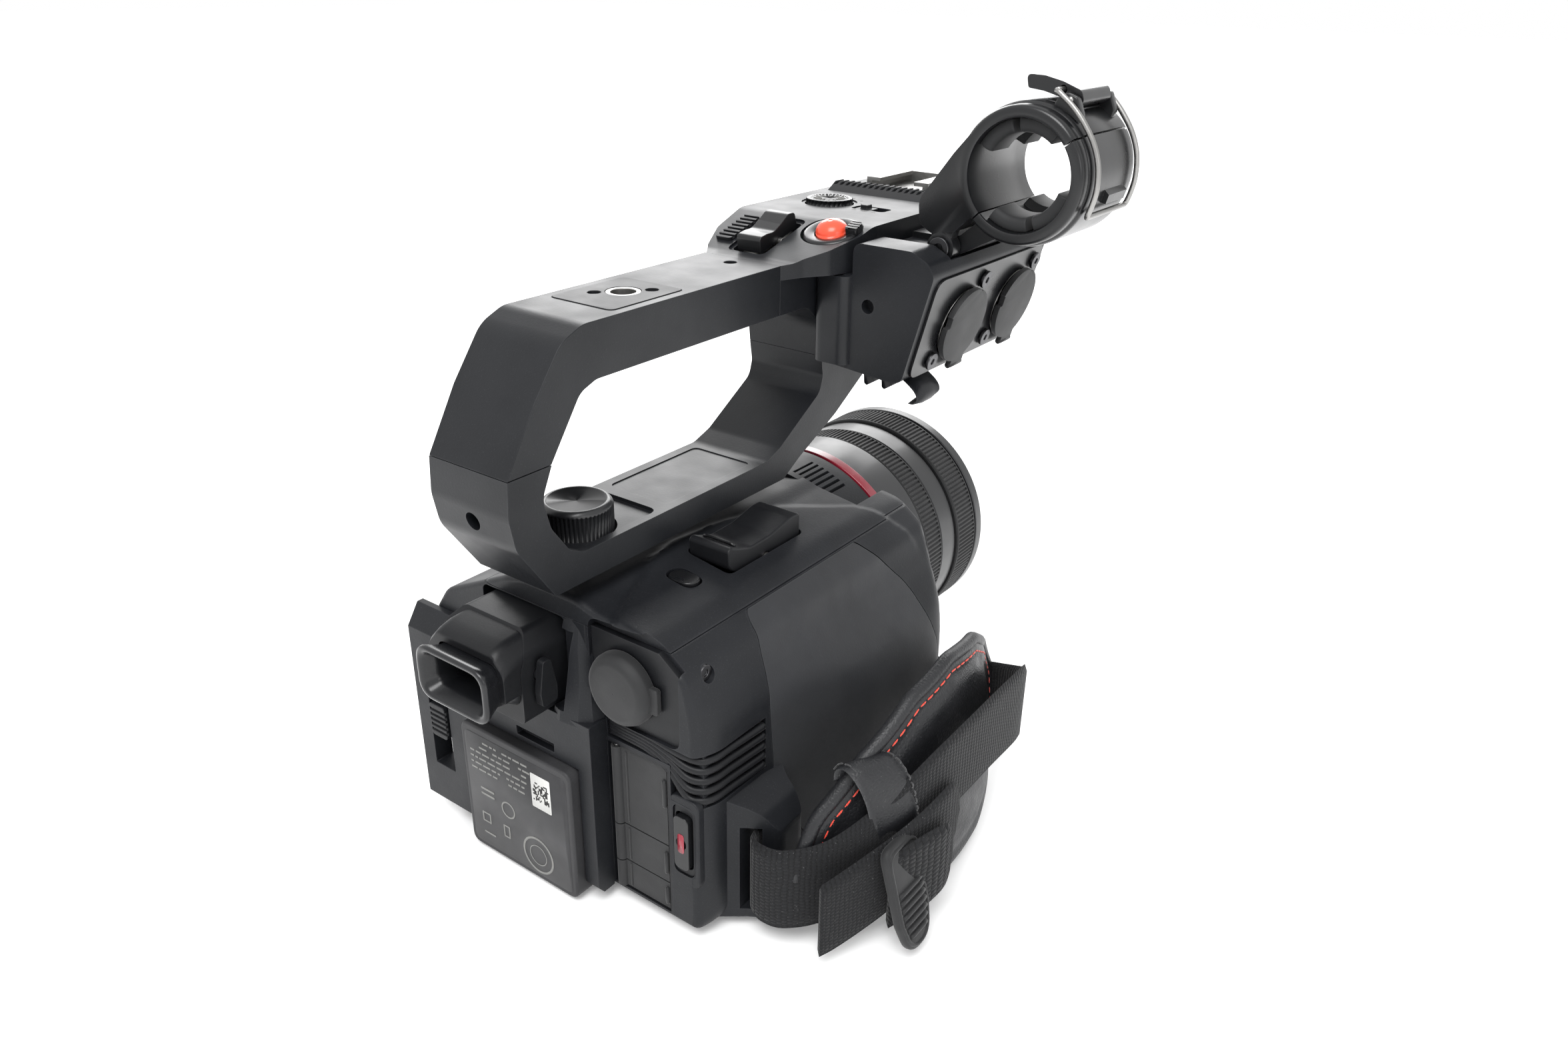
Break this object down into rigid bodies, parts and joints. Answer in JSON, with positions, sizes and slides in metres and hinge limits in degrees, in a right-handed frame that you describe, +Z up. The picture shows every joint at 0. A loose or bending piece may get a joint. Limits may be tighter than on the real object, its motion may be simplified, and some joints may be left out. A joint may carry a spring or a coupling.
{
  "type": "camcorder",
  "caption": "Compact camcorder with top handle, audio input box, microphone clamp, eyepiece, fold-out screen, slide-in battery and hand strap.",
  "frame": {"origin": "mouth of the tripod socket in the base plate", "axes": "-Y along the lens towards the scene, +X to the operator's left, +Z up"},
  "size_m": [0.1468, 0.215, 0.2052],
  "materials": {
    "shell": "fine speckled texture",
    "trim": "smooth satin",
    "handle": "satin with bevelled edges",
    "soft_grip": "soft-touch",
    "rubber": "matt",
    "lens_black": "satin",
    "red_ring": "anodised",
    "red_button": "gloss",
    "glass": "coated",
    "battery": "printed label",
    "steel": "satin",
    "screw_black": "blackened",
    "inner": "cast",
    "board": "circuit board",
    "leather": "stitched",
    "webbing": "woven",
    "screen": "gloss"
  },
  "bodies": {
    "camera": {"left_shell": "shell", "grip_shell": "shell", "top_cover": "shell", "base_plate": "trim", "threaded_inserts": "steel", "palm_panel": "soft_grip", "vent_grille": "trim", "mic_grilles": "trim", "rear_bezel": "shell", "rear_panels": "trim", "sockets": "steel", "lens_barrel": "lens_black", "accent_ring": "red_ring", "front_bezel": "lens_black", "glass_elements": "glass", "optics_core": "inner", "electronics": "board", "finder_housing": "trim", "finder_eyecup": "rubber", "handle_foot": "handle", "handle_grip": "handle", "handle_plate": "trim", "handle_neck": "handle", "control_deck": "handle", "accessory_shoe": "steel", "xlr_housing": "handle", "xlr_panel": "trim", "mic_base": "trim", "mic_clamp": "trim", "strap_pad": "leather", "strap_webbing": "webbing", "hinge_pins": "steel", "screws": "screw_black"},
    "battery": {"battery": "battery"},
    "battery_catch": {"battery_catch": "trim"},
    "video_door": {"video_door": "rubber"},
    "headphone_door": {"headphone_door": "rubber"},
    "power_door": {"power_door": "rubber"},
    "sdi_cap": {"sdi_cap": "rubber"},
    "rec_button": {"rec_button": "trim"},
    "user_button": {"user_button": "trim"},
    "zoom_rocker": {"zoom_rocker": "trim"},
    "zoom_ring": {"zoom_ring": "rubber"},
    "focus_ring": {"focus_ring": "rubber"},
    "diopter_lever": {"diopter_lever": "trim"},
    "screen": {"screen_hinge": "trim", "screen_panel": "screen"},
    "lock_knob": {"lock_knob": "lens_black"},
    "handle_rec": {"handle_rec": "red_button"},
    "hold_lever": {"hold_lever": "trim"},
    "handle_rocker": {"handle_rocker": "trim"},
    "function_dial": {"function_dial": "trim"},
    "slide_switch": {"slide_switch": "trim"},
    "audio_knob_front": {"audio_knob_front": "trim"},
    "audio_knob_rear": {"audio_knob_rear": "trim"},
    "audio_cover": {"audio_cover": "glass"},
    "xlr_cover_rear": {"xlr_cover_rear": "rubber"},
    "xlr_cover_front": {"xlr_cover_front": "rubber"},
    "latch_lever": {"latch_lever": "trim"},
    "latch_bail": {"latch_bail": "steel"}
  },
  "joints": [
    {"name": "battery_slide", "type": "slide", "parent": "camera", "child": "battery", "axis": [0, 1, 0], "range_m": [0, 0.045]},
    {"name": "battery_release", "type": "slide", "parent": "camera", "child": "battery_catch", "axis": [0, 0, -1], "range_m": [0, 0.004], "stiffness_N_per_m": 250},
    {"name": "video_door_hinge", "type": "hinge", "parent": "camera", "child": "video_door", "pos_m": [-0.0222, 0.0502, 0.04], "axis": [0, 0, -1], "range_deg": [0, 100]},
    {"name": "headphone_door_hinge", "type": "hinge", "parent": "camera", "child": "headphone_door", "pos_m": [-0.0222, 0.0502, 0.02], "axis": [0, 0, -1], "range_deg": [0, 100]},
    {"name": "power_door_hinge", "type": "hinge", "parent": "camera", "child": "power_door", "pos_m": [-0.0222, 0.0502, 0.009], "axis": [0, 0, -1], "range_deg": [0, 100]},
    {"name": "sdi_cap_hinge", "type": "hinge", "parent": "camera", "child": "sdi_cap", "pos_m": [-0.0375, 0.0512, 0.069], "axis": [0, 0, 1], "range_deg": [0, 100]},
    {"name": "rec_button_press", "type": "slide", "parent": "camera", "child": "rec_button", "axis": [0, -1, 0], "range_m": [0, 0.0008], "stiffness_N_per_m": 600},
    {"name": "user_button_press", "type": "slide", "parent": "camera", "child": "user_button", "axis": [0, 0, -1], "range_m": [0, 0.0006], "stiffness_N_per_m": 600},
    {"name": "zoom_rocker_tilt", "type": "hinge", "parent": "camera", "child": "zoom_rocker", "pos_m": [-0.022, -0.003, 0.084], "axis": [1, 0, 0], "range_deg": [-5, 5], "stiffness_Nm_per_rad": 0.1},
    {"name": "zoom_ring_turn", "type": "hinge", "parent": "camera", "child": "zoom_ring", "pos_m": [0, -0.086, 0.051], "axis": [0, 1, 0], "range_deg": [-45, 45]},
    {"name": "focus_ring_turn", "type": "hinge", "parent": "camera", "child": "focus_ring", "pos_m": [0, -0.1065, 0.051], "axis": [0, 1, 0], "continuous": true},
    {"name": "diopter_turn", "type": "hinge", "parent": "camera", "child": "diopter_lever", "pos_m": [-0.008, 0.06, 0.07], "axis": [1, 0, 0], "range_deg": [-25, 25]},
    {"name": "screen_swing", "type": "hinge", "parent": "camera", "child": "screen", "pos_m": [0.0438, -0.0426, 0.04], "axis": [0, 0, -1], "range_deg": [0, 90]},
    {"name": "lock_knob_turn", "type": "hinge", "parent": "camera", "child": "lock_knob", "pos_m": [0, 0.038, 0.1], "axis": [0, 0, 1], "continuous": true},
    {"name": "handle_rec_press", "type": "slide", "parent": "camera", "child": "handle_rec", "axis": [0, -0.2803, -0.9599], "range_m": [0, 0.0008], "stiffness_N_per_m": 600},
    {"name": "hold_lever_turn", "type": "hinge", "parent": "camera", "child": "hold_lever", "pos_m": [-0.0136, -0.0525, 0.16189], "axis": [0, 0.2803, 0.9599], "range_deg": [0, 40]},
    {"name": "handle_rocker_tilt", "type": "hinge", "parent": "camera", "child": "handle_rocker", "pos_m": [0.0034, -0.04539, 0.15836], "axis": [1, 0, 0], "range_deg": [-6, 6], "stiffness_Nm_per_rad": 0.05},
    {"name": "function_dial_turn", "type": "hinge", "parent": "camera", "child": "function_dial", "pos_m": [0.0074, -0.082, 0.164], "axis": [0, 0, 1], "continuous": true},
    {"name": "slide_switch_slide", "type": "slide", "parent": "camera", "child": "slide_switch", "axis": [-1, 0, 0], "range_m": [0, 0.0038]},
    {"name": "audio_knob_front_turn", "type": "hinge", "parent": "camera", "child": "audio_knob_front", "pos_m": [0.017, -0.104, 0.1405], "axis": [1, 0, 0], "range_deg": [-150, 150]},
    {"name": "audio_knob_rear_turn", "type": "hinge", "parent": "camera", "child": "audio_knob_rear", "pos_m": [0.017, -0.074, 0.1405], "axis": [1, 0, 0], "range_deg": [-150, 150]},
    {"name": "audio_cover_hinge", "type": "hinge", "parent": "camera", "child": "audio_cover", "pos_m": [0.0202, -0.089, 0.1502], "axis": [0, -1, 0], "range_deg": [0, 85]},
    {"name": "xlr_cover_rear_hinge", "type": "hinge", "parent": "camera", "child": "xlr_cover_rear", "pos_m": [-0.04458, -0.07, 0.12486], "axis": [0, -1, 0], "range_deg": [0, 120]},
    {"name": "xlr_cover_front_hinge", "type": "hinge", "parent": "camera", "child": "xlr_cover_front", "pos_m": [-0.04458, -0.1017, 0.12486], "axis": [0, -1, 0], "range_deg": [0, 120]},
    {"name": "latch_lever_turn", "type": "hinge", "parent": "camera", "child": "latch_lever", "pos_m": [-0.0746, -0.0775, 0.1999], "axis": [0, -1, 0], "range_deg": [0, 60]},
    {"name": "latch_bail_swing", "type": "hinge", "parent": "latch_lever", "child": "latch_bail", "pos_m": [-0.0712, -0.0775, 0.202], "axis": [0, 1, 0], "range_deg": [0, 81]}
  ],
  "couplings": [
    {"joint": "latch_bail_swing", "follows": "latch_lever_turn", "ratio": 1.35}
  ]
}
